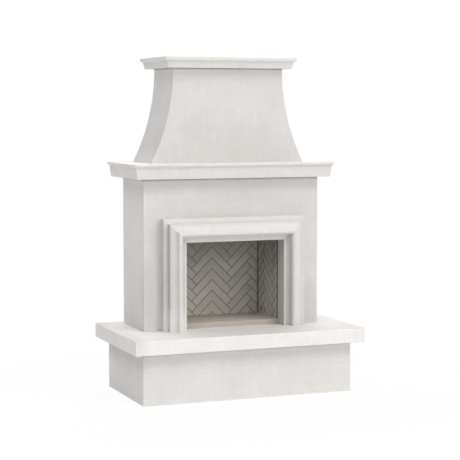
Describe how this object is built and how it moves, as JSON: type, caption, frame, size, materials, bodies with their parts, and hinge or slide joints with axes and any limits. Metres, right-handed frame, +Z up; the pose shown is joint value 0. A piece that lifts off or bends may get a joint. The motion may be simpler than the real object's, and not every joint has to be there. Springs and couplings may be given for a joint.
{
  "type": "outdoor fireplace",
  "caption": "Free-standing outdoor fireplace: plinth, overhanging hearth slab, moulded firebox surround, mantel shelf and a curved chimney shroud with a moulded cap.",
  "frame": {"origin": "centre of the bounding box on the ground, under the middle of the plinth", "axes": "+Z up; the fire opening faces -Y; +X to the right as one faces the opening"},
  "size_m": [1.669, 0.9496, 2.3159],
  "materials": {
    "cast_concrete": "matt, softly mottled off-white",
    "firebrick": "matt grey-taupe refractory with darker grooves",
    "hearth_tile": "matt beige refractory slab",
    "blackened_steel": "matt black heat-proof",
    "galvanised_steel": "galvanised sheet with a soft spangle",
    "primed_steel": "grey primer",
    "pin_steel": "plain bright steel"
  },
  "bodies": {
    "fireplace": {"base_plinth": "cast_concrete", "hearth_slab": "cast_concrete", "body_shell": "cast_concrete", "moulding_left": "cast_concrete", "moulding_right": "cast_concrete", "moulding_header": "cast_concrete", "mantel_shelf": "cast_concrete", "chimney_shroud": "cast_concrete", "chimney_cap": "cast_concrete", "firebox_back_panel": "firebrick", "firebox_left_panel": "firebrick", "firebox_right_panel": "firebrick", "firebox_floor": "hearth_tile", "gas_knockout_plug": "blackened_steel", "panel_retainer_left": "blackened_steel", "panel_retainer_right": "blackened_steel", "lintel_angle": "blackened_steel", "damper_frame": "blackened_steel", "damper_bracket_left": "blackened_steel", "damper_bracket_right": "blackened_steel", "arrestor_frame": "blackened_steel", "arrestor_mesh": "blackened_steel", "firebox_shell": "galvanised_steel", "smoke_dome": "galvanised_steel", "smoke_chamber": "galvanised_steel", "chamber_hood": "galvanised_steel", "flue_anchor_plate": "galvanised_steel", "flue_liner": "galvanised_steel", "flue_casing": "galvanised_steel", "flue_support_plate": "galvanised_steel", "flue_flashing": "galvanised_steel", "base_post_front_left": "primed_steel", "base_post_front_right": "primed_steel", "base_post_back_left": "primed_steel", "base_post_back_right": "primed_steel", "base_rail_front": "primed_steel", "base_rail_back": "primed_steel", "base_joist_1": "primed_steel", "base_joist_2": "primed_steel", "base_joist_3": "primed_steel", "base_joist_4": "primed_steel", "body_post_front_left": "primed_steel", "body_post_front_right": "primed_steel", "body_post_back_left": "primed_steel", "body_post_back_right": "primed_steel", "body_rail_front": "primed_steel", "body_rail_back": "primed_steel", "mantel_pin_left": "pin_steel", "mantel_pin_right": "pin_steel", "shroud_pin_left": "pin_steel", "shroud_pin_right": "pin_steel", "cap_pin_left": "pin_steel", "cap_pin_right": "pin_steel", "header_stud_left": "pin_steel", "header_stud_right": "pin_steel", "jamb_stud_left": "pin_steel", "jamb_stud_right": "pin_steel"},
    "damper": {"damper_plate": "blackened_steel", "damper_rod": "blackened_steel", "damper_handle": "blackened_steel"}
  },
  "joints": [
    {"name": "damper_hinge", "type": "hinge", "parent": "fireplace", "child": "damper", "pos_m": [0, 0.25975, 1.2188], "axis": [-1, 0, 0], "range_deg": [0, 75]}
  ]
}
